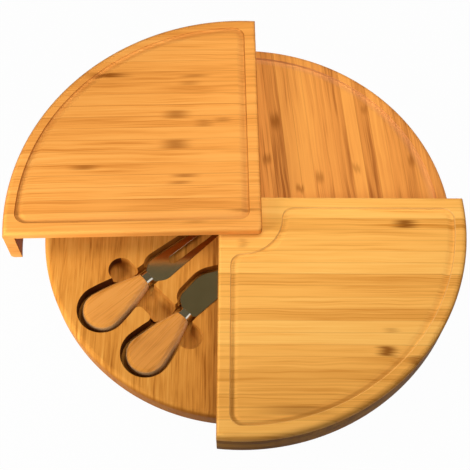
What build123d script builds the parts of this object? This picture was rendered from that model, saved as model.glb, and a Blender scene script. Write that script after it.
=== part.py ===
# Swivel cheese board: four nested quarter-round bamboo boards on one pivot, two tools in the lowest
import math
import os

from build123d import *

os.makedirs("parts", exist_ok=True)

# Boards: sizes in millimetres
TRAY_R = 165.0
TRAY_T = 19.0
PLATE_T = 8.0
SKIRT_T = 9.4
CORNER_R = 3.4
EDGE_R = 2.6
ARC_R = 5.0
ARC_FLATS = 4
FOOT_EASE = 2.2

# How far the straight edges pass the pivot: tray, low, middle and top board
EDGE_OUT = [17.2, 17.2, 18.9, 16.4]

# Clearances between boards, and between the skirts and the table
NEST_GAP = 0.8
LEVEL_GAP = 0.6
FOOT_GAP = 0.4

# How far each board stands from square in the photograph, in degrees
TRAY_TURN = -0.5
LOW_TURN = 5.0
MID_TURN = -0.25
TOP_TURN = 1.2

# Juice groove: steep outer wall, easy slope on the inner side, and on one board a step round the pivot
GROOVE_IN = 9.8
GROOVE_W = 7.2
GROOVE_D = 1.9
GROOVE_WALL_W = 0.6
GROOVE_WALL_D = 1.5
GROOVE_BED_W = 1.6
GROOVE_SLOPE_W = 3.2
GROOVE_SLOPE_D = 1.7
GROOVE_TURN = 10.0
GROOVE_CORNER = 8.0
HUB_R = 33.2

# Pivot: bolt from below, washer, spacer rings, blind insert
BOLT_R = 4.0
RUN_GAP = 0.08
THREAD_R = 3.0
THREAD_GAP = 0.05
HEAD_R = 6.5
HEAD_H = 3.8
SOCKET_AF = 5.0
SOCKET_D = 2.2
WASHER_R = 8.0
WASHER_T = 1.2
RECESS_R = 8.6
RECESS_D = 6.5
SPACER_R = 12.0
RING_GAP = 0.3
INSERT_R = 5.0
INSERT_H = 4.4
INSERT_TOP_GAP = 0.3
SEAT_GAP = 0.05

# Tools: pear handle, ferrule, flat blade with a tang
BULB_R = 17.0
BULB_SIDE = 80.0
HANDLE_REACH = 42.3
HANDLE_T = 11.0
HANDLE_R = 4.0
NECK_W = 12.0
FERRULE_L = 5.6
FERRULE_W = 12.6
FERRULE_H = 10.6
FERRULE_R = 4.6
BLADE_T = 1.6
BLADE_ROOT = 11.0
TANG_L = 18.0
TANG_W = 6.0
TANG_GAP = 0.05
FORK_L = 70.0
FORK_W = 23.0
FORK_TIP_W = 14.6
FORK_SHOULDER = 7.5
FORK_SHOULDER_R = 11.5
FORK_TIP_R = 2.4
PRONG_GAP = 7.4
PRONG_FROM = 21.0
KNIFE_L = 58.0
KNIFE_BACK = 14.4
KNIFE_BACK_FROM = 5.8
KNIFE_BACK_TO = 32.0
KNIFE_BACK_R = 9.4
KNIFE_FALL_R = 23.0
KNIFE_TIP_DROP = 3.3
KNIFE_TIP_R = 3.3
KNIFE_EDGE = 11.0
KNIFE_EDGE_AT = 27.8
KNIFE_EDGE_R = 27.5
KNIFE_HEEL = 8.0
KNIFE_HEEL_AT = 2.3

# How near a corner must lie to the place it is looked for
NEAR = 0.1

# Where the tools lie in the tray: reach of the bulb from the pivot, and angles off the tray's diagonal
TOOL_REACH = 134.8
FORK_FAN = -11.1
FORK_TOE = -4.5
KNIFE_FAN = 11.3
KNIFE_TOE = 4.5

# Wells and finger scoop
WELL_GAP = 3.8
WELL_FLOOR = 6.5
WELL_EASE = 4.0
EASE_SHARE = 0.4
BLADE_GAP = 2.4
BLADE_FLOOR = 9.2
SCOOP_REACH = 98.6
SCOOP_L = 103.0
SCOOP_W = 20.6
SCOOP_R = 6.0

# Values that follow from the ones above
NEST_STEP = SKIRT_T + NEST_GAP
LEVEL_STEP = PLATE_T + LEVEL_GAP
PIVOT_X = NEST_STEP / 2
PIVOT_Y = -NEST_STEP / 2
BLADE_Z = WELL_FLOOR + HANDLE_T / 2 - BLADE_T / 2
BORE_R = BOLT_R + RUN_GAP


def board_radius(level):
    return TRAY_R + level * NEST_STEP


def plate_bottom(level):
    return TRAY_T + LEVEL_GAP + (level - 1) * LEVEL_STEP


def placed(shape, turn):
    return Pos(PIVOT_X, PIVOT_Y, 0) * Rot(0, 0, turn) * shape


# Outline of one board about the pivot: a quarter disc whose straight edges pass the axis
def quarter(level, inset=0.0):
    radius = board_radius(level)
    low = inset - EDGE_OUT[level]
    side = radius - low
    middle = (radius + low) / 2
    return Circle(radius - inset) & Pos(middle, middle) * Rectangle(side, side)


# A turned disc whose upper rim is rounded in a few flats, which keeps the solids light
def disc(radius, bottom, height):
    top = bottom + height
    points = [(0, bottom), (-radius, bottom)]
    for step in range(ARC_FLATS + 1):
        angle = math.radians(90 * step / ARC_FLATS)
        points.append((ARC_R - radius - ARC_R * math.cos(angle), top - ARC_R + ARC_R * math.sin(angle)))
    points.append((0, top))
    return revolve(Plane.XZ * make_face(Polyline(points, close=True)), Axis.Z)


# A board's slab: its two straight edges and their corner eased, the rest cut to the disc
def slab(level, bottom, height):
    radius = board_radius(level)
    low = -EDGE_OUT[level]
    blank = Pos(low + radius, low + radius, bottom) * Rectangle(2 * radius, 2 * radius)
    blank = extrude(fillet([blank.vertices().sort_by_distance((low, low, bottom))[0]], CORNER_R), height)
    rim = blank.faces().sort_by(Axis.Z)[-1].edges()
    blank = fillet(rim.sort_by_distance((low, low, bottom + height))[:3], EDGE_R)
    return blank & disc(radius, bottom, height)


# Cutter for the groove, swept along its outer edge
def groove(level, around_hub):
    loop = quarter(level, GROOVE_IN)
    if around_hub:
        loop = loop - Circle(HUB_R)
        loop = fillet(loop.vertices(), GROOVE_TURN)
    else:
        inner = loop.vertices().sort_by_distance((0, 0, 0))[0]
        tips = [v for v in loop.vertices() if v != inner]
        loop = fillet(tips, GROOVE_TURN)
        inner = loop.vertices().sort_by_distance((0, 0, 0))[0]
        loop = fillet([inner], GROOVE_CORNER)
    path = Pos(0, 0, plate_bottom(level) + PLATE_T) * loop.face().outer_wire()
    along = path % 0
    inward = Vector(0, 0, 1).cross(along)
    profile = [
        (0, GROOVE_D),
        (0, 0),
        (GROOVE_WALL_W, -GROOVE_WALL_D),
        (GROOVE_BED_W, -GROOVE_D),
        (GROOVE_SLOPE_W, -GROOVE_SLOPE_D),
        (GROOVE_W, 0),
        (GROOVE_W, GROOVE_D),
    ]
    section = Plane(origin=path @ 0, x_dir=inward, z_dir=along) * make_face(Polyline(profile, close=True))
    return sweep(section, path=path)


def plate(level, around_hub, bored):
    bottom = plate_bottom(level)
    solid = slab(level, bottom, PLATE_T) - groove(level, around_hub)
    if bored:
        solid = solid - Pos(0, 0, bottom + PLATE_T / 2) * Cylinder(BORE_R, 2 * PLATE_T)
    return solid


# Curved wall under the arc: it hangs to just above the table
def skirt(level):
    radius = board_radius(level)
    band = quarter(level) - Circle(radius - SKIRT_T)
    solid = extrude(Pos(0, 0, FOOT_GAP) * band, plate_bottom(level) - FOOT_GAP)
    foot = solid.faces().sort_by(Axis.Z)[0].edges().filter_by(GeomType.CIRCLE)
    return chamfer(foot.sort_by(SortBy.RADIUS)[-1:], FOOT_EASE)


# Pear-shaped handle outline: the bulb's middle is at 0, the neck points along X
def handle_face():
    angle = math.radians(BULB_SIDE)
    start = (BULB_R * math.cos(angle), BULB_R * math.sin(angle))
    neck = (HANDLE_REACH, NECK_W / 2)
    side = TangentArc(start, neck, tangent=(math.sin(angle), -math.cos(angle)))
    other = mirror(side, about=Plane.XZ)
    back = ThreePointArc(start, (-BULB_R, 0), (start[0], -start[1]))
    end = Line(neck, (HANDLE_REACH, -NECK_W / 2))
    return make_face(Curve() + [side, other, back, end])


def corner(face, point):
    return [v for v in face.vertices() if math.hypot(v.X - point[0], v.Y - point[1]) < NEAR]


def fork_face():
    root = HANDLE_REACH + FERRULE_L
    tip = root + FORK_L
    half = BLADE_ROOT / 2
    shoulder = root + FORK_SHOULDER
    points = [
        (root, half),
        (shoulder, FORK_W / 2),
        (tip, FORK_TIP_W / 2),
        (tip, -FORK_TIP_W / 2),
        (shoulder, -FORK_W / 2),
        (root, -half),
    ]
    face = make_face(Polyline(points, close=True))
    face = fillet(corner(face, points[1]) + corner(face, points[4]), FORK_SHOULDER_R)
    return fillet(corner(face, points[2]) + corner(face, points[3]), FORK_TIP_R)


# Gap between the fork's two prongs, round at its inner end
def prong_slot():
    start = HANDLE_REACH + FERRULE_L + PRONG_FROM
    length = FORK_L - PRONG_FROM + PRONG_GAP
    return Pos(start + length / 2, 0) * SlotOverall(length, PRONG_GAP)


# Broad cheese knife: rounded back on one side, slightly bowed edge on the other
def knife_face():
    root = HANDLE_REACH + FERRULE_L
    tip = root + KNIFE_L
    half = BLADE_ROOT / 2
    points = [
        (root, half),
        (root + KNIFE_BACK_FROM, KNIFE_BACK),
        (root + KNIFE_BACK_TO, KNIFE_BACK),
        (tip, -KNIFE_TIP_DROP),
        (root + KNIFE_EDGE_AT, -KNIFE_EDGE),
        (root + KNIFE_HEEL_AT, -KNIFE_HEEL),
        (root, -half),
    ]
    face = make_face(Polyline(points, close=True))
    face = fillet(corner(face, points[1]), KNIFE_BACK_R)
    face = fillet(corner(face, points[3]), KNIFE_TIP_R)
    face = fillet(corner(face, points[2]), KNIFE_FALL_R)
    return fillet(corner(face, points[4]), KNIFE_EDGE_R)


# One flat of the rounding round a handle's crown
def eased_crown(handle, inward, down):
    crown = handle.faces().sort_by(Axis.Z)[-1]
    return chamfer(crown.edges().filter_by(GeomType.CIRCLE), inward, down, reference=crown)


# One tool's three pieces, lying along X with the handle's underside on the well's floor
def tool(blade_face, slot=None):
    flat = handle_face()
    handle = extrude(Pos(0, 0, WELL_FLOOR) * flat, HANDLE_T)
    halfway = HANDLE_R * (1 - math.sqrt(0.5))
    inset = HANDLE_R * halfway / (HANDLE_R - halfway)
    handle = eased_crown(handle, inset, HANDLE_R)
    handle = eased_crown(handle, HANDLE_R - inset, math.hypot(inset - halfway, halfway))
    sole = handle.faces().sort_by(Axis.Z)[0].edges().filter_by(GeomType.CIRCLE)
    handle = chamfer(sole, HANDLE_R / 2)
    middle = BLADE_Z + BLADE_T / 2
    tang_start = HANDLE_REACH - TANG_L
    tang_end = HANDLE_REACH + FERRULE_L + BLADE_T
    tang = Pos((tang_start + tang_end) / 2, 0, middle) * Box(tang_end - tang_start, TANG_W, BLADE_T)
    room = Pos((tang_start + tang_end) / 2, 0, middle)
    room = room * Box(tang_end - tang_start + 2 * TANG_GAP, TANG_W + 2 * TANG_GAP, BLADE_T + 2 * TANG_GAP)
    section = Plane(origin=(HANDLE_REACH, 0, middle), x_dir=(0, 1, 0), z_dir=(1, 0, 0))
    ferrule = extrude(section * RectangleRounded(FERRULE_W, FERRULE_H, FERRULE_R), FERRULE_L)
    blade = extrude(Pos(0, 0, BLADE_Z) * blade_face, BLADE_T)
    if slot is not None:
        blade = blade - extrude(Pos(0, 0, BLADE_Z - BLADE_T) * slot, 3 * BLADE_T)
    return handle - room, ferrule - room, blade + tang


# Hollow for one tool: its outline let out, deep for the handle and shallower for the blade
def well(blade_face):
    deep = extrude(Pos(0, 0, WELL_FLOOR) * offset(handle_face(), WELL_GAP), TRAY_T)
    shallow = extrude(Pos(0, 0, BLADE_FLOOR) * offset(blade_face, BLADE_GAP), TRAY_T)
    neck_from = HANDLE_REACH - WELL_GAP
    neck_to = HANDLE_REACH + FERRULE_L + WELL_GAP
    neck = Pos((neck_from + neck_to) / 2, 0, WELL_FLOOR + TRAY_T / 2)
    neck = neck * Box(neck_to - neck_from, FERRULE_W + 2 * WELL_GAP, TRAY_T)
    return deep + shallow + neck


def in_tray(shape, fan, toe):
    angle = math.radians(45 + fan)
    x = TOOL_REACH * math.cos(angle)
    y = TOOL_REACH * math.sin(angle)
    return Pos(x, y, 0) * Rot(0, 0, 225 + toe) * shape


def at_fork(shape):
    return in_tray(shape, FORK_FAN, FORK_TOE)


def at_knife(shape):
    return in_tray(shape, KNIFE_FAN, KNIFE_TOE)


# The two corners of the wood between the handles, rounded in plan where they meet the scoop
def eased_corners(scoop_face):
    hollow = offset(handle_face(), WELL_GAP)
    opening = at_fork(hollow) + at_knife(hollow) + scoop_face
    far_edge = SCOOP_REACH + SCOOP_W / 2
    diagonal = Axis((0, 0, 0), (1, 1, 0))
    on_edge = opening.vertices().filter_by_position(diagonal, far_edge - NEAR, far_edge + NEAR)
    corners = on_edge.sort_by_distance(on_diagonal(far_edge))[:2]
    walls = [edge.length for edge in opening.edges() for point in corners if edge.distance_to(point) < NEAR]
    ease = min(WELL_EASE, EASE_SHARE * min(walls))
    return extrude(Pos(0, 0, WELL_FLOOR) * (fillet(corners, ease) - opening), TRAY_T)


def on_diagonal(reach):
    return (reach / math.sqrt(2), reach / math.sqrt(2), 0)


# Tool tray with wells, finger scoop, pivot bore and a recess for the bolt's head
def tray():
    solid = slab(0, 0, TRAY_T)
    solid = solid - at_fork(well(fork_face()))
    solid = solid - at_knife(well(knife_face()))
    scoop_face = Pos(on_diagonal(SCOOP_REACH)) * Rot(0, 0, 135) * SlotOverall(SCOOP_L, SCOOP_W)
    scoop = extrude(Pos(0, 0, WELL_FLOOR) * scoop_face, TRAY_T)
    solid = solid - fillet(scoop.faces().sort_by(Axis.Z)[0].edges(), SCOOP_R)
    solid = solid - eased_corners(scoop_face)
    solid = solid - Pos(0, 0, TRAY_T / 2) * Cylinder(BORE_R, 2 * TRAY_T)
    return solid - Cylinder(RECESS_R, 2 * RECESS_D)


def ring(outer, inner, bottom, height):
    flat = Circle(outer) - Circle(inner)
    return extrude(Pos(0, 0, bottom) * flat, height)


# Pivot bolt: head in the tray's recess, plain shank through three boards, thread in the insert
def bolt():
    head_top = RECESS_D - WASHER_T
    shoulder = plate_bottom(3)
    solid = extrude(Pos(0, 0, head_top - HEAD_H) * Circle(HEAD_R), HEAD_H)
    solid = solid + extrude(Pos(0, 0, head_top) * Circle(BOLT_R), shoulder - head_top)
    solid = solid + extrude(Pos(0, 0, shoulder) * Circle(THREAD_R), INSERT_H)
    socket = RegularPolygon(SOCKET_AF / 2, 6, major_radius=False)
    return solid - extrude(Pos(0, 0, head_top - HEAD_H) * socket, SOCKET_D)


# Insert seat: a blind hole in the top board's underside
def insert_seat():
    depth = INSERT_H + INSERT_TOP_GAP
    return extrude(Pos(0, 0, plate_bottom(3)) * Circle(INSERT_R + SEAT_GAP), depth)


tray_way = 180 + TRAY_TURN
low_way = LOW_TURN
mid_way = -90 + MID_TURN
top_way = 90 + TOP_TURN

fork_handle, fork_ferrule, fork_blade = tool(fork_face(), prong_slot())
knife_handle, knife_ferrule, knife_blade = tool(knife_face())

nodes = {
    "tray": placed(tray(), tray_way),
    "low_plate": placed(plate(1, False, True), low_way),
    "low_skirt": placed(skirt(1), low_way),
    "mid_plate": placed(plate(2, True, True), mid_way),
    "mid_skirt": placed(skirt(2), mid_way),
    "top_plate": placed(plate(3, False, False) - insert_seat(), top_way),
    "top_skirt": placed(skirt(3), top_way),
    "pivot_bolt": placed(bolt(), top_way),
    "bolt_washer": placed(ring(WASHER_R, BOLT_R + RING_GAP, RECESS_D - WASHER_T, WASHER_T), 0),
    "thread_insert": placed(ring(INSERT_R, THREAD_R + THREAD_GAP, plate_bottom(3), INSERT_H), top_way),
    "low_spacer": placed(ring(SPACER_R, BOLT_R + RING_GAP, TRAY_T, LEVEL_GAP), 0),
    "mid_spacer": placed(ring(SPACER_R, BOLT_R + RING_GAP, plate_bottom(2) - LEVEL_GAP, LEVEL_GAP), 0),
    "top_spacer": placed(ring(SPACER_R, BOLT_R + RING_GAP, plate_bottom(3) - LEVEL_GAP, LEVEL_GAP), 0),
    "fork_handle": placed(at_fork(fork_handle), tray_way),
    "fork_ferrule": placed(at_fork(fork_ferrule), tray_way),
    "fork_blade": placed(at_fork(fork_blade), tray_way),
    "knife_handle": placed(at_knife(knife_handle), tray_way),
    "knife_ferrule": placed(at_knife(knife_ferrule), tray_way),
    "knife_blade": placed(at_knife(knife_blade), tray_way),
}

for name, shape in nodes.items():
    export_step(shape, "parts/" + name + ".step")
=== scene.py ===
"""Swivel cheese board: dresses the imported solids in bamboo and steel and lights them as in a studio."""

import logging
import math
from dataclasses import dataclass, replace
from enum import Enum
from typing import Any

import bmesh
import bpy
from bpy.types import Material, Node, NodeSocket, NodeTree, Object
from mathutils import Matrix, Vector


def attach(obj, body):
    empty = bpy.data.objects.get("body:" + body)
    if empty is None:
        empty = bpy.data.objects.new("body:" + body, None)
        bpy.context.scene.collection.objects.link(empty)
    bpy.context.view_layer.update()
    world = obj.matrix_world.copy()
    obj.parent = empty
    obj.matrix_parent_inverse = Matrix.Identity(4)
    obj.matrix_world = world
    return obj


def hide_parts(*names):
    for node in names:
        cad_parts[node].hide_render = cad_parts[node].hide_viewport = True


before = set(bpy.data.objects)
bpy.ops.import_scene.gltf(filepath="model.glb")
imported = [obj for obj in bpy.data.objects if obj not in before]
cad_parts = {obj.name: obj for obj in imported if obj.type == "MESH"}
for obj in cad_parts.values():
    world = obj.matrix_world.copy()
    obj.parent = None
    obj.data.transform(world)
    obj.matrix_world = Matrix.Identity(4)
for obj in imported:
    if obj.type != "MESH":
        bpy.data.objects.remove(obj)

LOG = logging.getLogger("cheese_board")
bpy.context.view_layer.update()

# One millimetre in metres, and where the pivot's axis stands
MM = 0.001
PIVOT = (5.1 * MM, -5.1 * MM)

# Cleaning a mesh: points nearer than this in millimetres are one, and turns under this in degrees are flat
WELD = 0.002
FLAT = 0.4

# How far large faces lead when the light over softened edges is evened out
FACE_WEIGHT = 100

# Layers of bamboo strips: their thickness in millimetres, and each layer's shift as a share of a strip
LAYER = 8.6
LAYER_SHIFT = 0.37

# Fibre noise: how far the strips lie apart in it, its stretch downwards, its detail and how rough that is
STRIP_SPREAD = 91.0
DOWNWARD_STRETCH = 6.0
FIBRE_DETAIL = 2.5
FIBRE_ROUGHNESS = 0.55

# Sway of the fibres: how far, over what length and over what width, in millimetres, and its detail
SWAY = 3.5
SWAY_LENGTH = 45.0
SWAY_WIDTH = 16.0
SWAY_DETAIL = 1.0

# Dark clouds show more of the finer streaks and light clouds less: range of the noise, and the two shares
CLOUD_RANGE = (0.35, 0.65)
CLOUD_SHARES = (1.5, 0.35)

# Oiled face: height of the fibres in millimetres, strength of their relief, and refraction
FIBRE_RELIEF = 0.15
FIBRE_BUMP = 0.15
BAMBOO_IOR = 1.48

# Spread of roughness to either side, on bamboo and on nylon
ROUGH_SPREAD = 0.08

# Gloss of a skirt, where 0.5 is usual
SKIRT_GLOSS = 0.03

# Joint marks: raggedness in millimetres, and where ends and sides fade, in half lengths and half breadths
RAGGED = 16.0
MARK_ENDS = (0.0, 1.3)
MARK_SIDES = (0.55, 1.1)

# Sawn ends: from a slanting to a square cut, by the part of a surface's direction along the grain
SAWN_RANGE = (0.45, 0.9)

# Width of a fibre bundle in millimetres, drawn coarser than a real one so that it shows
BUNDLE = 1.1

# Grooves in millimetres: the top face over the layer's foot, their depth and the height of their bed
TOP_FACE = 8.3
GROOVE_DEPTH = 1.9
BED_RISE = 0.7

# Where a board's far end begins and is full, in millimetres from the pivot across the grain
FAR_END = (90.0, 160.0)

# How far past the pivot's axes a point still counts as in the board's quarter, in millimetres
EDGE_MARGIN = 11.0

# Upward part of a surface's direction under which it is an underside
UNDERSIDE = -0.5


class Grain(Enum):
    """Which way a board's strips run, as the angle of the grain from +X, in degrees."""

    ALONG_X = 0.0
    ALONG_Y = 90.0


def srgb(code: str) -> tuple[float, float, float, float]:
    """Turn an sRGB hex colour into linear light.

    Args:
        code: Six hex digits, with or without a leading hash.

    Returns:
        Red, green, blue and alpha for a shader socket.
    """
    digits = code.lstrip("#")
    parts = [int(digits[i:i + 2], 16) / 255 for i in (0, 2, 4)]
    linear = [c / 12.92 if c <= 0.04045 else ((c + 0.055) / 1.055) ** 2.4 for c in parts]
    return (linear[0], linear[1], linear[2], 1.0)


def add(tree: NodeTree, kind: str, inputs: dict[int | str, Any] | None = None, **settings: Any) -> Node:
    """Add one shader node with its settings, values and links.

    Args:
        tree: The node tree that takes the node.
        kind: The node's class, without the ShaderNode prefix.
        inputs: Socket name or number to a value, or to the output that feeds it.
        settings: The node's own properties.

    Returns:
        The new node.
    """
    node = tree.nodes.new("ShaderNode" + kind)
    for key, value in settings.items():
        setattr(node, key, value)
    for key, value in (inputs or {}).items():
        if isinstance(value, NodeSocket):
            tree.links.new(value, node.inputs[key])
        else:
            node.inputs[key].default_value = value
    return node


def new_material(name: str) -> tuple[Material, NodeTree, Node]:
    """Make an empty node material.

    Args:
        name: The finish's name.

    Returns:
        The material, its node tree and its principled shader.
    """
    material = bpy.data.materials.new(name)
    material.use_nodes = True
    tree = material.node_tree
    tree.nodes.clear()
    shader = add(tree, "BsdfPrincipled")
    add(tree, "OutputMaterial", {"Surface": shader.outputs[0]})
    return material, tree, shader


@dataclass(frozen=True)
class Knuckle:
    """A brown joint mark of the cane on one strip.

    Its place from the pivot and its size are in millimetres along and across the grain.
    Its depth is the share of brown.
    """

    along: float
    across: float
    length: float
    breadth: float
    depth: float


@dataclass(frozen=True)
class Streak:
    """One size of streak among the fibres, in multiples of the finest one's width, length and contrast."""

    width: float
    length: float
    contrast: float


# From broad clouds to single fibres
STREAKS = (Streak(9.0, 0.9, 0.7), Streak(3.0, 1.6, 1.1), Streak(1.0, 1.0, 1.0))


@dataclass(frozen=True)
class PaintedShading:
    """Painted light and shade where a cutter ran in a piece of bamboo: colour put on its walls and groove
    beds.

    Attributes:
        colour: Colour painted on the walls, dark for painted shade and pale for painted light.
        depth: Share of that painted colour on a steep wall.
        most: Greatest reach from the pivot in millimetres.
        least: Least reach from the pivot in millimetres.
        along: Sign of the board's quarter along the grain, or 0 for no limit.
        across: Sign of the board's quarter across the grain, or 0 for no limit.
        upright: Upward part of a surface's direction at which a wall is steep.
        level: Upward part of a surface's direction at which a face is level.
        sunk: Share of the painted colour at the bottom of a groove, fading to none at the top face.
        far: Share of painted shade on a groove's bed at the board's far end across the grain.
        bed_colour: Colour of that painted shade on the bed.
    """

    colour: str
    depth: float
    most: float
    least: float = 0.0
    along: float = 0.0
    across: float = 0.0
    upright: float = 0.4
    level: float = 0.8
    sunk: float = 0.0
    far: float = 0.0
    bed_colour: str = ""


@dataclass(frozen=True)
class Bamboo:
    """Laminated bamboo, sanded and oiled: even strips, long fibres, brown joint marks and thin glue lines.

    Sizes are in millimetres, and the grain's turn is in degrees. Real fibres are finer, and are drawn as
    coarse as they need to show.
    """

    name: str
    light: str
    middle: str
    dark: str
    grain: float
    strip: float
    first_seam: float
    top_layer: float
    seed: float
    strip_contrast: float
    fibre_contrast: float = 0.40
    fibre_width: float = 0.9
    fibre_length: float = 60.0
    seam_strength: float = 0.45
    seam_width: float = 0.6
    knuckle_colour: str = "#8F4D12"
    knuckles: tuple[Knuckle, ...] = ()
    sawn_depth: float = 0.7
    painted_shading: PaintedShading | None = None
    roughness: float = 0.56
    gloss: float = 0.22

    def material(self) -> Material:
        """Build the node material.

        Returns:
            The finished bamboo.
        """
        material, tree, shader = new_material(self.name)
        surface = add(tree, "TexCoord")
        normal = surface.outputs["Normal"]
        turned = add(
            tree,
            "Mapping",
            {
                "Vector": surface.outputs["Object"],
                "Location": (PIVOT[0], PIVOT[1], self.top_layer * MM),
                "Rotation": (0.0, 0.0, math.radians(self.grain)),
                "Scale": (MM, MM, MM),
            },
            vector_type="TEXTURE",
        )
        place = turned.outputs[0]
        along, across, up = add(tree, "SeparateXYZ", {0: place}).outputs
        colour, fibres = self.strips(tree, along, across, up)
        colour = self.joint_marks(tree, colour, along, across, fibres)
        colour = self.sawn_ends(tree, colour, normal, place)
        # Painted light and shade on steep walls and groove beds where the cutter ran
        if self.painted_shading is not None:
            colour = self.paint_shading(tree, self.painted_shading, colour, normal, place)
        tree.links.new(colour, shader.inputs["Base Color"])

        # Thin oil: the open fibres stand a little proud and are a little duller
        dull = add(
            tree,
            "MapRange",
            {
                "Value": fibres,
                "To Min": self.roughness - ROUGH_SPREAD,
                "To Max": self.roughness + ROUGH_SPREAD,
            },
        )
        tree.links.new(dull.outputs[0], shader.inputs["Roughness"])
        relief = add(
            tree,
            "Bump",
            {"Strength": FIBRE_BUMP, "Distance": FIBRE_RELIEF * MM, "Height": fibres},
        )
        tree.links.new(relief.outputs[0], shader.inputs["Normal"])
        shader.inputs["IOR"].default_value = BAMBOO_IOR
        shader.inputs["Specular IOR Level"].default_value = self.gloss
        return material

    def skirt(self, light: str, middle: str, dark: str) -> "Bamboo":
        """Give the same bamboo for a board's skirt, duller and without joint marks.

        Args:
            light: The skirt's lightest tone.
            middle: Its middle tone.
            dark: Its darkest tone.

        Returns:
            The skirt's bamboo.
        """
        return replace(
            self,
            name=self.name + "_skirt",
            light=light,
            middle=middle,
            dark=dark,
            knuckles=(),
            painted_shading=None,
            gloss=SKIRT_GLOSS,
        )

    def strips(
        self, tree: NodeTree, along: NodeSocket, across: NodeSocket, up: NodeSocket
    ) -> tuple[NodeSocket, NodeSocket]:
        """Colour the strips, their fibres and the glue lines between them.

        Args:
            tree: The node tree.
            along: Output with the way along the grain in millimetres.
            across: Output with the way across the grain in millimetres.
            up: Output with the height over the top layer's foot in millimetres.

        Returns:
            The outputs with the colour and with the fine fibres.
        """
        layer = add(tree, "Math", {0: up, 1: LAYER}, operation="DIVIDE")
        layer = add(tree, "Math", {0: layer.outputs[0]}, operation="FLOOR")
        shift = add(
            tree,
            "Math",
            {0: layer.outputs[0], 1: LAYER_SHIFT * self.strip, 2: -self.first_seam},
            operation="MULTIPLY_ADD",
        )
        shifted = add(tree, "Math", {0: across, 1: shift.outputs[0]}, operation="ADD")
        counted = add(tree, "Math", {0: shifted.outputs[0], 1: self.strip}, operation="DIVIDE")
        number = add(tree, "Math", {0: counted.outputs[0]}, operation="FLOOR")
        part = add(tree, "Math", {0: counted.outputs[0]}, operation="FRACT")

        # Each strip of each layer throws its own dice: tone, strength of its glue line, place in the noise
        seeded = add(tree, "Math", {0: layer.outputs[0], 1: self.seed}, operation="ADD")
        key = add(tree, "CombineXYZ", {0: number.outputs[0], 1: seeded.outputs[0]})
        chance = add(tree, "TexWhiteNoise", {"Vector": key.outputs[0]}, noise_dimensions="2D")
        tone, seam, spot = add(tree, "SeparateColor", {0: chance.outputs["Color"]}).outputs
        shade, fibres = self.streaks(tree, tone, spot, along, across, up)
        ramp = add(tree, "ValToRGB", {0: shade})
        ramp.color_ramp.elements[0].color = srgb(self.dark)
        ramp.color_ramp.elements[1].color = srgb(self.light)
        ramp.color_ramp.elements.new(0.5).color = srgb(self.middle)
        return self.glue_lines(tree, ramp.outputs[0], part.outputs[0], seam), fibres

    def streaks(
        self,
        tree: NodeTree,
        tone: NodeSocket,
        spot: NodeSocket,
        along: NodeSocket,
        across: NodeSocket,
        up: NodeSocket,
    ) -> tuple[NodeSocket, NodeSocket]:
        """Shade each strip by its own tone and by noise drawn out along the grain.

        Args:
            tree: The node tree.
            tone: Output with the strip's own tone.
            spot: Output with the strip's own place in the noise.
            along: Output with the way along the grain in millimetres.
            across: Output with the way across the grain in millimetres.
            up: Output with the height over the top layer's foot in millimetres.

        Returns:
            The outputs with the shade and with the fine fibres.
        """
        spread = self.strip_contrast / 2
        toned = add(tree, "MapRange", {"Value": tone, "To Min": 0.5 - spread, "To Max": 0.5 + spread})
        shade = toned.outputs[0]
        own = add(tree, "Math", {0: spot, 1: STRIP_SPREAD}, operation="MULTIPLY")

        # The fibres sway a little from side to side
        lengthwise = add(tree, "Math", {0: along, 1: SWAY_LENGTH}, operation="DIVIDE")
        crosswise = add(tree, "Math", {0: across, 1: SWAY_WIDTH}, operation="DIVIDE")
        point = add(
            tree,
            "CombineXYZ",
            {0: lengthwise.outputs[0], 1: crosswise.outputs[0], 2: own.outputs[0]},
        )
        bend = add(tree, "TexNoise", {"Vector": point.outputs[0], "Scale": 1.0, "Detail": SWAY_DETAIL})
        swayed = add(tree, "Math", {0: bend.outputs["Fac"], 1: SWAY, 2: across}, operation="MULTIPLY_ADD")

        # Noise runs from 0 to 1, so its way from the middle is doubled
        clouds = None
        for streak in STREAKS:
            width = streak.width * self.fibre_width
            length = streak.length * self.fibre_length
            weight = streak.contrast * self.fibre_contrast
            downward = 1.0 / (DOWNWARD_STRETCH * width)
            lengthwise = add(tree, "Math", {0: along, 1: length}, operation="DIVIDE")
            crosswise = add(tree, "Math", {0: swayed.outputs[0], 1: width}, operation="DIVIDE")
            depthwise = add(tree, "Math", {0: up, 1: downward, 2: own.outputs[0]}, operation="MULTIPLY_ADD")
            point = add(
                tree,
                "CombineXYZ",
                {0: lengthwise.outputs[0], 1: crosswise.outputs[0], 2: depthwise.outputs[0]},
            )
            noise = add(
                tree,
                "TexNoise",
                {
                    "Vector": point.outputs[0],
                    "Scale": 1.0,
                    "Detail": FIBRE_DETAIL,
                    "Roughness": FIBRE_ROUGHNESS,
                },
            )
            fibres = noise.outputs["Fac"]
            offset = add(tree, "Math", {0: fibres, 1: 0.5}, operation="SUBTRACT")
            if clouds is None:
                clouds = add(
                    tree,
                    "MapRange",
                    {
                        "Value": fibres,
                        "From Min": CLOUD_RANGE[0],
                        "From Max": CLOUD_RANGE[1],
                        "To Min": CLOUD_SHARES[0],
                        "To Max": CLOUD_SHARES[1],
                    },
                )
            else:
                offset = add(
                    tree,
                    "Math",
                    {0: offset.outputs[0], 1: clouds.outputs[0]},
                    operation="MULTIPLY",
                )
            mixed = add(
                tree,
                "Math",
                {0: offset.outputs[0], 1: 2.0 * weight, 2: shade},
                operation="MULTIPLY_ADD",
            )
            shade = mixed.outputs[0]
        return shade, fibres

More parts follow.
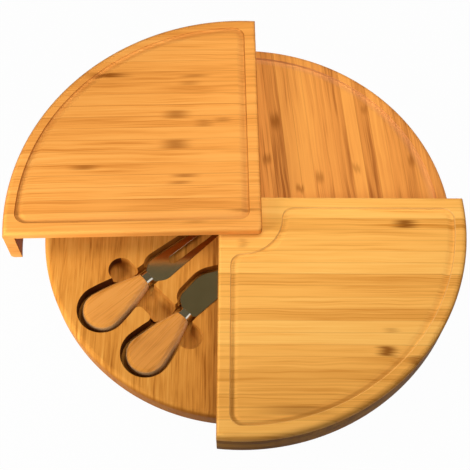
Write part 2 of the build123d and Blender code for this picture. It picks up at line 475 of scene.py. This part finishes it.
    def glue_lines(
        self, tree: NodeTree, colour: NodeSocket, part: NodeSocket, chance: NodeSocket
    ) -> NodeSocket:
        """Draw the glue lines between the strips, some of them hardly seen.

        Args:
            tree: The node tree.
            colour: Output with the colour so far.
            part: Output with the way across a strip, from 0 to 1.
            chance: Output with the strip's own strength of line.

        Returns:
            The output with the lined colour.
        """
        middle = add(tree, "Math", {0: part, 1: 0.5}, operation="SUBTRACT")
        centred = add(tree, "Math", {0: middle.outputs[0]}, operation="ABSOLUTE")
        seam = add(
            tree,
            "MapRange",
            {
                "Value": centred.outputs[0],
                "From Min": 0.5 - self.seam_width / self.strip,
                "From Max": 0.5,
                "To Max": self.seam_strength,
            },
        )
        uneven = add(tree, "Math", {0: seam.outputs[0], 1: chance}, operation="MULTIPLY")
        glued = add(
            tree,
            "Mix",
            {0: uneven.outputs[0], 6: colour, 7: srgb(self.knuckle_colour)},
            data_type="RGBA",
        )
        return glued.outputs[2]

    def joint_marks(
        self, tree: NodeTree, colour: NodeSocket, along: NodeSocket, across: NodeSocket, fibres: NodeSocket
    ) -> NodeSocket:
        """Darken the strips where the cane had its joints, with ragged ends along the fibres.

        Args:
            tree: The node tree.
            colour: Output with the colour so far.
            along: Output with the way along the grain in millimetres.
            across: Output with the way across the grain in millimetres.
            fibres: Output with the fine fibres.

        Returns:
            The output with the marked colour.
        """
        ragged = add(tree, "Math", {0: fibres, 1: RAGGED, 2: along}, operation="MULTIPLY_ADD")
        point = add(tree, "CombineXYZ", {0: ragged.outputs[0], 1: across})
        for knuckle in self.knuckles:
            centre = (knuckle.along + RAGGED / 2, knuckle.across, 0.0)
            scale = (2.0 / knuckle.length, 2.0 / knuckle.breadth, 0.0)
            away = add(tree, "VectorMath", {0: point.outputs[0], 1: centre}, operation="SUBTRACT")
            away = add(tree, "VectorMath", {0: away.outputs[0], 1: scale}, operation="MULTIPLY")
            away = add(tree, "VectorMath", {0: away.outputs[0]}, operation="ABSOLUTE")
            away = add(tree, "SeparateXYZ", {0: away.outputs[0]})
            ends = add(
                tree,
                "MapRange",
                {
                    "Value": away.outputs[0],
                    "From Min": MARK_ENDS[0],
                    "From Max": MARK_ENDS[1],
                    "To Min": knuckle.depth,
                    "To Max": 0.0,
                },
                interpolation_type="SMOOTHSTEP",
            )
            sides = add(
                tree,
                "MapRange",
                {
                    "Value": away.outputs[1],
                    "From Min": MARK_SIDES[0],
                    "From Max": MARK_SIDES[1],
                    "To Min": 1.0,
                    "To Max": 0.0,
                },
                interpolation_type="SMOOTHSTEP",
            )
            mark = add(tree, "Math", {0: ends.outputs[0], 1: sides.outputs[0]}, operation="MULTIPLY")
            colour = add(
                tree,
                "Mix",
                {0: mark.outputs[0], 6: colour, 7: srgb(self.knuckle_colour)},
                data_type="RGBA",
            ).outputs[2]
        return colour

    def sawn_ends(
        self, tree: NodeTree, colour: NodeSocket, normal: NodeSocket, place: NodeSocket
    ) -> NodeSocket:
        """Show the fibre bundles as dots on faces that are sawn across the grain.

        Args:
            tree: The node tree.
            colour: Output with the colour so far.
            normal: Output with the surface's direction.
            place: Output with the place in millimetres from the pivot, turned with the grain.

        Returns:
            The output with the dotted colour.
        """
        turn = math.radians(self.grain)
        facing = add(
            tree,
            "VectorMath",
            {0: normal, 1: (math.cos(turn), math.sin(turn), 0.0)},
            operation="DOT_PRODUCT",
        )
        facing = add(tree, "Math", {0: facing.outputs["Value"]}, operation="ABSOLUTE")
        sawn = add(
            tree,
            "MapRange",
            {
                "Value": facing.outputs[0],
                "From Min": SAWN_RANGE[0],
                "From Max": SAWN_RANGE[1],
                "To Max": self.sawn_depth,
            },
            interpolation_type="SMOOTHSTEP",
        )
        ends = add(tree, "VectorMath", {0: place, 1: (0.0, 1.0, 1.0)}, operation="MULTIPLY")
        bundles = add(tree, "TexVoronoi", {"Vector": ends.outputs[0], "Scale": 1.0 / BUNDLE})
        dots = add(
            tree,
            "Mix",
            {0: bundles.outputs["Distance"], 6: srgb(self.knuckle_colour), 7: srgb(self.dark)},
            data_type="RGBA",
        )
        dotted = add(tree, "Mix", {0: sawn.outputs[0], 6: colour, 7: dots.outputs[2]}, data_type="RGBA")
        return dotted.outputs[2]

    def paint_shading(
        self, tree: NodeTree, cut: PaintedShading, colour: NodeSocket, normal: NodeSocket, place: NodeSocket
    ) -> NodeSocket:
        """Paint light and shade on steep walls and in groove beds where the cutter ran.

        Args:
            tree: The node tree.
            cut: Where the cutter ran, and the painted light and shade.
            colour: Output with the colour so far.
            normal: Output with the surface's direction.
            place: Output with the place in millimetres from the pivot, turned with the grain.

        Returns:
            The output with the tinted colour.
        """
        reach = add(tree, "VectorMath", {0: place, 1: (1.0, 1.0, 0.0)}, operation="MULTIPLY")
        reach = add(tree, "VectorMath", {0: reach.outputs[0]}, operation="LENGTH")
        inside = add(
            tree,
            "Math",
            {0: reach.outputs["Value"], 1: (cut.least + cut.most) / 2, 2: (cut.most - cut.least) / 2},
            operation="COMPARE",
        )
        signed = add(tree, "VectorMath", {0: place, 1: (cut.along, cut.across, 0.0)}, operation="MULTIPLY")
        lengthwise, crosswise, _ = add(tree, "SeparateXYZ", {0: signed.outputs[0]}).outputs
        quarter = add(tree, "Math", {0: lengthwise, 1: crosswise}, operation="MINIMUM")
        quarter = add(tree, "Math", {0: quarter.outputs[0], 1: -EDGE_MARGIN}, operation="GREATER_THAN")
        upward = add(tree, "VectorMath", {0: normal, 1: (0.0, 0.0, 1.0)}, operation="DOT_PRODUCT")
        above = add(tree, "Math", {0: upward.outputs["Value"], 1: UNDERSIDE}, operation="GREATER_THAN")

        # Painted light and shade: walls take the painted colour by their steepness, and a groove takes it by
        # its depth
        height = add(tree, "SeparateXYZ", {0: place}).outputs[2]
        bottom = TOP_FACE - GROOVE_DEPTH
        sunk = add(
            tree,
            "MapRange",
            {"Value": height, "From Min": bottom, "From Max": TOP_FACE, "To Min": cut.sunk, "To Max": 0.0},
        )
        steep = add(
            tree,
            "MapRange",
            {
                "Value": upward.outputs["Value"],
                "From Min": cut.upright,
                "From Max": cut.level,
                "To Min": cut.depth,
                "To Max": 0.0,
            },
        )
        wall = add(tree, "Math", {0: steep.outputs[0], 1: sunk.outputs[0]}, operation="MAXIMUM")
        tints = [(wall, cut.colour)]
        # Painted shade on the groove's bed at the board's far end across the grain
        if cut.far > 0.0:
            far = add(
                tree,
                "MapRange",
                {
                    "Value": crosswise,
                    "From Min": FAR_END[0],
                    "From Max": FAR_END[1],
                    "To Min": 0.0,
                    "To Max": cut.far,
                },
            )
            bed = add(
                tree,
                "MapRange",
                {
                    "Value": height,
                    "From Min": bottom,
                    "From Max": bottom + BED_RISE,
                    "To Min": 1.0,
                    "To Max": 0.0,
                },
            )
            bed = add(tree, "Math", {0: bed.outputs[0], 1: far.outputs[0]}, operation="MULTIPLY")
            tints.append((bed, cut.bed_colour))
        for share, tint in tints:
            for limit in (inside, quarter, above):
                share = add(tree, "Math", {0: share.outputs[0], 1: limit.outputs[0]}, operation="MULTIPLY")
            mixed = add(tree, "Mix", {0: share.outputs[0], 6: colour, 7: srgb(tint)}, data_type="RGBA")
            colour = mixed.outputs[2]
        return colour


@dataclass(frozen=True)
class Metal:
    """A solid metal, ground and polished: fine lines along one direction and faint smudges from handling.

    Sizes are in millimetres, and the lines' turn is in degrees. Real ground lines are finer, and are drawn as
    coarse as they need to show.
    """

    name: str
    colour: str
    smudge: str
    roughness: float
    line_spread: float = 0.07
    line_width: float = 0.6
    line_length: float = 30.0
    line_turn: float = 0.0
    line_detail: float = 2.0
    line_relief: float = 0.02
    line_bump: float = 0.06
    smudge_size: float = 14.0
    smudge_detail: float = 1.0

    def material(self) -> Material:
        """Build the node material.

        Returns:
            The finished metal.
        """
        material, tree, shader = new_material(self.name)
        place = add(tree, "TexCoord").outputs["Object"]
        lines = add(
            tree,
            "Mapping",
            {
                "Vector": place,
                "Rotation": (0.0, 0.0, math.radians(self.line_turn)),
                "Scale": (self.line_length * MM, self.line_width * MM, self.line_width * MM),
            },
            vector_type="TEXTURE",
        )
        ground = add(
            tree,
            "TexNoise",
            {"Vector": lines.outputs[0], "Scale": 1.0, "Detail": self.line_detail},
        )
        smudges = add(
            tree,
            "TexNoise",
            {"Vector": place, "Scale": 1.0 / (self.smudge_size * MM), "Detail": self.smudge_detail},
        )
        tint = add(
            tree,
            "Mix",
            {0: smudges.outputs["Fac"], 6: srgb(self.colour), 7: srgb(self.smudge)},
            data_type="RGBA",
        )
        tree.links.new(tint.outputs[2], shader.inputs["Base Color"])
        dull = add(
            tree,
            "MapRange",
            {
                "Value": ground.outputs["Fac"],
                "To Min": self.roughness - self.line_spread,
                "To Max": self.roughness + self.line_spread,
            },
        )
        tree.links.new(dull.outputs[0], shader.inputs["Roughness"])
        relief = add(
            tree,
            "Bump",
            {
                "Strength": self.line_bump,
                "Distance": self.line_relief * MM,
                "Height": ground.outputs["Fac"],
            },
        )
        tree.links.new(relief.outputs[0], shader.inputs["Normal"])
        shader.inputs["Metallic"].default_value = 1.0
        return material


@dataclass(frozen=True)
class Nylon:
    """Natural nylon, turned: milky, faintly mottled and softly glossy, with sizes in millimetres."""

    name: str
    colour: str
    shade: str
    mottle: float = 2.0
    relief: float = 0.03
    bump: float = 0.1
    roughness: float = 0.38
    ior: float = 1.53

    def material(self) -> Material:
        """Build the node material.

        Returns:
            The finished nylon.
        """
        material, tree, shader = new_material(self.name)
        place = add(tree, "TexCoord").outputs["Object"]
        noise = add(tree, "TexNoise", {"Vector": place, "Scale": 1.0 / (self.mottle * MM)}).outputs["Fac"]
        mottled = add(tree, "Mix", {0: noise, 6: srgb(self.colour), 7: srgb(self.shade)}, data_type="RGBA")
        tree.links.new(mottled.outputs[2], shader.inputs["Base Color"])
        dull = add(
            tree,
            "MapRange",
            {
                "Value": noise,
                "To Min": self.roughness - ROUGH_SPREAD,
                "To Max": self.roughness + ROUGH_SPREAD,
            },
        )
        tree.links.new(dull.outputs[0], shader.inputs["Roughness"])
        relief = add(tree, "Bump", {"Strength": self.bump, "Distance": self.relief * MM, "Height": noise})
        tree.links.new(relief.outputs[0], shader.inputs["Normal"])
        shader.inputs["IOR"].default_value = self.ior
        return material


@dataclass(frozen=True)
class Easing:
    """How a piece's edges are softened, in degrees and millimetres.

    Attributes:
        over: Edges that turn by more than this are softened.
        width: How wide.
        steps: In how many steps.
        smooth_under: Faces that meet at less than this shade as one surface.
    """

    over: float
    width: float
    steps: int = 2
    smooth_under: float = 38.0


def dress(node: str, body: str, finish: Material, easing: Easing) -> Object:
    """Make the shown piece of one solid: welded, its edges softened, smoothly shaded.

    Args:
        node: The CAD node that the piece stands for.
        body: The body that it rides on.
        finish: The material.
        easing: How the edges are softened.

    Returns:
        The new piece.
    """
    mesh = bpy.data.meshes.new(node + "_finished")
    shape = bmesh.new()
    shape.from_mesh(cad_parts[node].data)
    bmesh.ops.remove_doubles(shape, verts=shape.verts, dist=WELD * MM)
    bmesh.ops.dissolve_limit(shape, angle_limit=math.radians(FLAT), verts=shape.verts, edges=shape.edges)
    least = math.radians(easing.over)
    bmesh.ops.bevel(
        shape,
        geom=[edge for edge in shape.edges if edge.is_manifold and edge.calc_face_angle() > least],
        offset=easing.width * MM,
        offset_type="OFFSET",
        segments=easing.steps,
        profile=0.5,
        affect="EDGES",
        material=-1,
        clamp_overlap=True,
    )
    for face in shape.faces:
        face.smooth = True
    shape.to_mesh(mesh)
    shape.free()
    mesh.set_sharp_from_angle(angle=math.radians(easing.smooth_under))
    mesh.materials.clear()
    mesh.materials.append(finish)
    piece = bpy.data.objects.new(node + "_finished", mesh)
    bpy.context.scene.collection.objects.link(piece)
    even = piece.modifiers.new("even_light", "WEIGHTED_NORMAL")
    even.keep_sharp = True
    even.weight = FACE_WEIGHT
    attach(piece, body)
    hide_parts(node)
    return piece


@dataclass
class Board:
    """One turning board: its plate and its skirt, each with its bamboo."""

    level: str
    body: str
    slot: str
    plate: Bamboo
    skirt: Bamboo
    easing: Easing = Easing(over=50.0, width=0.5)

    def build(self) -> list[Object]:
        """Dress the plate and the skirt.

        Returns:
            The two pieces.
        """
        return [
            dress(f"{self.level}_plate", self.body, self.plate.material(), self.easing),
            dress(f"{self.level}_skirt", self.body, self.skirt.material(), self.easing),
        ]


@dataclass
class Tray:
    """The tool tray with its wells."""

    bamboo: Bamboo
    easing: Easing = Easing(over=50.0, width=0.6)

    def build(self) -> list[Object]:
        """Dress the tray and return its one piece."""
        return [dress("tray", "tray_body", self.bamboo.material(), self.easing)]


@dataclass
class Tool:
    """A cheese tool lying in its well: bamboo handle, steel ferrule, steel blade."""

    name: str
    handle: Bamboo
    ferrule: Metal
    blade: Metal
    handle_easing: Easing = Easing(over=15.0, width=0.9, steps=3, smooth_under=60.0)
    ferrule_easing: Easing = Easing(over=50.0, width=1.4, steps=4)
    blade_easing: Easing = Easing(over=50.0, width=0.25)

    def build(self) -> list[Object]:
        """Dress the three pieces.

        Returns:
            Handle, ferrule and blade.
        """
        body = "tray_body"
        return [
            dress(f"{self.name}_handle", body, self.handle.material(), self.handle_easing),
            dress(f"{self.name}_ferrule", body, self.ferrule.material(), self.ferrule_easing),
            dress(f"{self.name}_blade", body, self.blade.material(), self.blade_easing),
        ]


@dataclass
class Pivot:
    """The hidden pivot: bolt, washer, insert and spacer rings."""

    steel: Metal
    brass: Metal
    nylon: Nylon
    easing: Easing = Easing(over=50.0, width=0.15)
    ring_easing: Easing = Easing(over=50.0, width=0.1)

    def build(self) -> list[Object]:
        """Dress the six pieces.

        Returns:
            The pieces, from the bolt to the top spacer.
        """
        steel = self.steel.material()
        brass = self.brass.material()
        nylon = self.nylon.material()
        return [
            dress("pivot_bolt", "top_board", steel, self.easing),
            dress("bolt_washer", "tray_body", steel, self.easing),
            dress("thread_insert", "top_board", brass, self.easing),
            dress("low_spacer", "tray_body", nylon, self.ring_easing),
            dress("mid_spacer", "low_board", nylon, self.ring_easing),
            dress("top_spacer", "mid_board", nylon, self.ring_easing),
        ]


@dataclass(frozen=True)
class Lamp:
    """A soft disc lamp: its place, the point it faces, its width, its power and whether gloss shows it."""

    place: tuple[float, float, float]
    aim: tuple[float, float, float]
    size: float
    power: float
    in_gloss: bool = False

    def hang(self, name: str) -> None:
        """Add the lamp to the scene.

        Args:
            name: The lamp's name.
        """
        lamp = bpy.data.lights.new(name, "AREA")
        lamp.shape = "DISK"
        lamp.size = self.size
        lamp.energy = self.power
        holder = bpy.data.objects.new(name, lamp)
        holder.location = self.place
        holder.rotation_euler = (Vector(self.aim) - Vector(self.place)).to_track_quat("-Z", "Y").to_euler()
        holder.visible_glossy = self.in_gloss
        bpy.context.scene.collection.objects.link(holder)


@dataclass
class Studio:
    """Pale floor, soft lamps and the camera at the photograph's angle.

    The image and the focal length are in pixels, the elevation is in degrees, and the distance, the target
    and the sensor are in millimetres. Clipping, floor and lamps are in metres, and power is in watts.
    The key hangs over the back on the right, the soft lamp high over the back, the side lamp low on the
    left, and the glint in front on the right, where the steel shows it.
    """

    image: int = 470
    focal_pixels: float = 1017.55
    elevation: float = 64.146
    distance: float = 849.74
    target: tuple[float, float, float] = (-0.40, -13.47, 19.0)
    sensor: float = 36.0
    clip_near: float = 0.05
    clip_far: float = 20.0
    floor_span: float = 24.0
    floor_colour: str = "#8E8C88"
    floor_glow: float = 0.98
    key: Lamp = Lamp(place=(0.12, 0.13, 0.39), aim=(0.10, 0.08, 0.0), size=0.30, power=1.10)
    soft: Lamp = Lamp(place=(-0.05, 0.17, 0.62), aim=(-0.05, 0.14, 0.0), size=0.45, power=0.58)
    side: Lamp = Lamp(place=(-0.42, -0.22, 0.18), aim=(-0.20, 0.20, 0.05), size=0.25, power=2.75)
    glint: Lamp = Lamp(
        place=(0.30, -0.28, 0.40), aim=(-0.08, -0.07, 0.02), size=0.44, power=0.44, in_gloss=True
    )
    sky: str = "#8F8468"
    sky_strength: float = 0.5

    def floor(self) -> None:
        """Lay the floor: paper that the camera and gloss see as white, with the object's shadow kept."""
        mesh = bpy.data.meshes.new("floor")
        shape = bmesh.new()
        bmesh.ops.create_grid(shape, x_segments=1, y_segments=1, size=self.floor_span / 2)
        shape.to_mesh(mesh)
        shape.free()
        material = bpy.data.materials.new("pale_floor")
        material.use_nodes = True
        tree = material.node_tree
        tree.nodes.clear()
        matt = add(tree, "BsdfDiffuse", {"Color": srgb(self.floor_colour)})
        glow = add(tree, "Emission", {"Color": srgb("#FFFFFF"), "Strength": 1.0})
        path = add(tree, "LightPath")
        seen = path.outputs["Is Camera Ray"]
        for kind in ("Is Glossy Ray", "Is Transmission Ray"):
            seen = add(tree, "Math", {0: seen, 1: path.outputs[kind]}, operation="MAXIMUM").outputs[0]
        share = add(tree, "Math", {0: seen, 1: self.floor_glow}, operation="MULTIPLY")
        both = add(tree, "MixShader", {0: share.outputs[0], 1: matt.outputs[0], 2: glow.outputs[0]})
        add(tree, "OutputMaterial", {"Surface": both.outputs[0]})
        mesh.materials.append(material)
        floor = bpy.data.objects.new("floor", mesh)
        bpy.context.scene.collection.objects.link(floor)

    def light(self) -> None:
        """Hang the lamps and set the sky."""
        self.key.hang("key")
        self.soft.hang("soft")
        self.side.hang("side")
        self.glint.hang("glint")
        world = bpy.data.worlds.new("soft_sky")
        world.use_nodes = True
        tree = world.node_tree
        tree.nodes.clear()
        glow = add(tree, "Background", {"Color": srgb(self.sky), "Strength": self.sky_strength})
        add(tree, "OutputWorld", {"Surface": glow.outputs[0]})
        bpy.context.scene.world = world

    def camera(self) -> None:
        """Set up the scene's camera."""
        lens = bpy.data.cameras.new("camera")
        lens.sensor_width = self.sensor
        lens.lens = self.focal_pixels / self.image * self.sensor
        lens.clip_start = self.clip_near
        lens.clip_end = self.clip_far
        rise = math.radians(self.elevation)
        aim = Vector(self.target) * MM
        back = Vector((0.0, -math.cos(rise), math.sin(rise)))
        holder = bpy.data.objects.new("camera", lens)
        holder.location = aim + back * (self.distance * MM)
        holder.rotation_euler = (-back).to_track_quat("-Z", "Y").to_euler()
        bpy.context.scene.collection.objects.link(holder)
        bpy.context.scene.camera = holder


# Top board, bamboo strips laid flat, sanded and oiled: a warm honey face with soft streaks and brown marks
TOP_BAMBOO = Bamboo(
    name="oiled_bamboo_top",
    light="#F8B35E",
    middle="#E99B47",
    dark="#C3752A",
    grain=Grain.ALONG_X.value + 1.2,
    strip=11.4,
    first_seam=2.5,
    top_layer=36.5,
    seed=16203.0,
    strip_contrast=0.3,
    fibre_length=90.0,
    # Painted shade in the groove: brown on its walls and at its bottom, partly the darker cut fibre's own
    # tone
    painted_shading=PaintedShading(colour="#8A4A1C", depth=0.4, most=188.0, along=-1.0, across=1.0, sunk=0.16),
    knuckles=(
        Knuckle(-113.0, 136.5, 39.6, 5.5, 0.95),
        Knuckle(-37.0, 134.5, 28.8, 3.9, 0.5),
        Knuckle(-42.0, 127.0, 21.6, 5.5, 0.35),
        Knuckle(-54.0, 95.0, 25.2, 9.9, 0.6),
        Knuckle(-30.0, 86.0, 18.0, 8.8, 0.4),
        Knuckle(-14.0, 89.0, 18.0, 5.5, 0.4),
        Knuckle(-54.0, 65.5, 27.0, 11.0, 0.65),
        Knuckle(-131.0, 44.5, 27.0, 5.5, 0.6),
        Knuckle(-46.0, 35.0, 25.2, 3.9, 0.6),
        Knuckle(-52.0, 28.5, 21.6, 3.9, 0.5),
        Knuckle(-38.0, -8.0, 21.6, 3.3, 0.3),
        Knuckle(2.0, 2.0, 28.8, 3.3, 0.5),
    ),
)

# Middle board, the same from a yellower cane: painted light on its groove walls to lift their shade, and
# painted shade, brown, on the groove bed at the front
MID_BAMBOO = Bamboo(
    name="oiled_bamboo_mid",
    light="#FFC86D",
    middle="#F2AE54",
    dark="#CB822F",
    grain=Grain.ALONG_X.value - 0.25,
    strip=10.0,
    first_seam=-1.0,
    top_layer=27.9,
    seed=19550.0,
    strip_contrast=0.4,
    fibre_contrast=0.34,
    fibre_length=110.0,
    # Painted light, pale, on the groove walls, and painted shade, brown, on the groove bed at the far end
    painted_shading=PaintedShading(
        colour="#FDD488", depth=0.5, most=176.2, along=1.0, across=-1.0, far=0.55, bed_colour="#8A561A"
    ),
    gloss=0.06,
    knuckle_colour="#83470F",
    knuckles=(
        Knuckle(134.0, -6.0, 22.0, 9.0, 0.9),
        Knuckle(112.5, -116.0, 17.0, 10.0, 0.9),
        Knuckle(134.0, -123.0, 14.0, 8.0, 0.55),
        Knuckle(42.0, -163.0, 62.0, 9.0, 0.4),
        Knuckle(117.0, -99.0, 14.0, 5.0, 0.3),
        Knuckle(2.0, -24.0, 10.0, 10.0, 0.3),
    ),
)

# Low board, the same from a redder cane: strips that differ more, and dark streaks
LOW_BAMBOO = Bamboo(
    name="oiled_bamboo_low",
    light="#F7A950",
    middle="#DF8F42",
    dark="#A55F25",
    grain=Grain.ALONG_Y.value + 5.0,
    strip=11.0,
    first_seam=0.5,
    top_layer=19.3,
    seed=7250.0,
    strip_contrast=0.45,
    fibre_length=80.0,
    # Painted light in the groove: a pale pinkish tint on its walls and at its bottom
    painted_shading=PaintedShading(colour="#E0A070", depth=0.5, most=168.0, along=1.0, across=-1.0, sunk=0.25),
    knuckles=(
        Knuckle(95.0, -38.0, 20.0, 10.0, 0.75),
        Knuckle(58.0, -27.0, 12.0, 9.0, 0.6),
        Knuckle(27.0, -52.0, 9.0, 8.0, 0.6),
        Knuckle(36.0, -70.0, 14.0, 8.0, 0.5),
        Knuckle(43.0, -102.0, 10.0, 8.0, 0.4),
        Knuckle(100.0, -117.0, 12.0, 7.0, 0.45),
        Knuckle(45.0, -150.0, 14.0, 7.0, 0.5),
    ),
)

# Skirts, bent and glued from the same bamboo and hardly oiled: dull rims. The low and middle skirts take
# darker tones than their plates, painted shade on the sides, darkest under the middle board
TOP_SKIRT = TOP_BAMBOO.skirt("#EFAE62", "#DD9549", "#AE6A2C")
MID_SKIRT = MID_BAMBOO.skirt("#C48A30", "#A26C22", "#704612")
LOW_SKIRT = LOW_BAMBOO.skirt("#DF8F42", "#A55F25", "#8A4A17")

# Tray, a laminated block, hollowed by a router and oiled: amber with short fibres, and painted shade, a dark
# maroon, on the steep walls of its wells
TRAY_BAMBOO = Bamboo(
    name="oiled_bamboo_tray",
    light="#E0A04C",
    middle="#C98436",
    dark="#995A1C",
    grain=Grain.ALONG_Y.value - 0.5,
    strip=10.5,
    first_seam=0.0,
    top_layer=10.7,
    seed=10906.0,
    strip_contrast=0.25,
    fibre_contrast=0.45,
    fibre_width=1.1,
    fibre_length=32.0,
    # Painted shade: dark maroon on the steep walls of the wells, for the shade inside them
    painted_shading=PaintedShading(
        colour="#3E120B",
        depth=0.88,
        most=160.0,
        least=104.0,
        along=-1.0,
        across=1.0,
        upright=0.1,
        level=0.6,
    ),
    gloss=0.08,
)

# How far the tools are turned from +X, in degrees
FORK_TURN = 40.0
KNIFE_TURN = 49.0

# Tool handles, shaped from bamboo and polished: glossier than the boards, with a painted highlight, pale
# cream, on their rounded edges
FORK_HANDLE = Bamboo(
    name="oiled_bamboo_fork_handle",
    light="#E29D4D",
    middle="#CE8739",
    dark="#9D5E21",
    grain=FORK_TURN,
    strip=19.0,
    first_seam=0.0,
    top_layer=6.0,
    seed=21.0,
    strip_contrast=0.2,
    fibre_contrast=0.27,
    fibre_width=1.2,
    fibre_length=30.0,
    # Painted highlight: pale cream on the handles' rounded edges and sides
    painted_shading=PaintedShading(colour="#F8CC96", depth=0.65, most=200.0, upright=0.3, level=0.92),
    roughness=0.28,
    gloss=0.5,
)
KNIFE_HANDLE = replace(
    FORK_HANDLE, name="oiled_bamboo_knife_handle", grain=KNIFE_TURN, strip=21.0, seed=22.0
)

# Stainless steel, ground and polished, the blades along their length: blurred mirrors of what is round them
FERRULE_STEEL = Metal(name="polished_steel_ferrule", colour="#E6E3DB", smudge="#CFCABE", roughness=0.2)
FORK_STEEL = Metal(
    name="polished_steel_fork", colour="#EAE3CE", smudge="#D6CEB4", roughness=0.22, line_turn=FORK_TURN
)
KNIFE_STEEL = Metal(
    name="polished_steel_knife", colour="#E0D6BA", smudge="#C9BD9C", roughness=0.17, line_turn=KNIFE_TURN
)

# Pivot: plain steel is dull grey, plain brass dull yellow, and natural nylon milky white
BOLT_STEEL = Metal(name="plain_steel_bolt", colour="#C4C2BD", smudge="#A9A7A1", roughness=0.34)
INSERT_BRASS = Metal(name="plain_brass_insert", colour="#CFA955", smudge="#B08D43", roughness=0.36)
SPACER_NYLON = Nylon(name="natural_nylon_spacer", colour="#E6E1D3", shade="#D8D1BF")


def main() -> None:
    """Build every sub-assembly in order, then the studio."""
    logging.basicConfig(level=logging.INFO)
    assemblies: list[Tray | Board | Tool | Pivot] = [
        Tray(TRAY_BAMBOO),
        Board("low", "low_board", "low_bamboo", LOW_BAMBOO, LOW_SKIRT),
        Board("mid", "mid_board", "mid_bamboo", MID_BAMBOO, MID_SKIRT),
        Board("top", "top_board", "top_bamboo", TOP_BAMBOO, TOP_SKIRT),
        Tool("fork", FORK_HANDLE, FERRULE_STEEL, FORK_STEEL),
        Tool("knife", KNIFE_HANDLE, FERRULE_STEEL, KNIFE_STEEL),
        Pivot(BOLT_STEEL, INSERT_BRASS, SPACER_NYLON),
    ]
    for assembly in assemblies:
        for piece in assembly.build():
            LOG.info("built %s with %d faces", piece.name, len(piece.data.polygons))
    studio = Studio()
    studio.floor()
    studio.light()
    studio.camera()
    bpy.context.scene.view_settings.view_transform = "Standard"


if __name__ == "__main__":
    main()
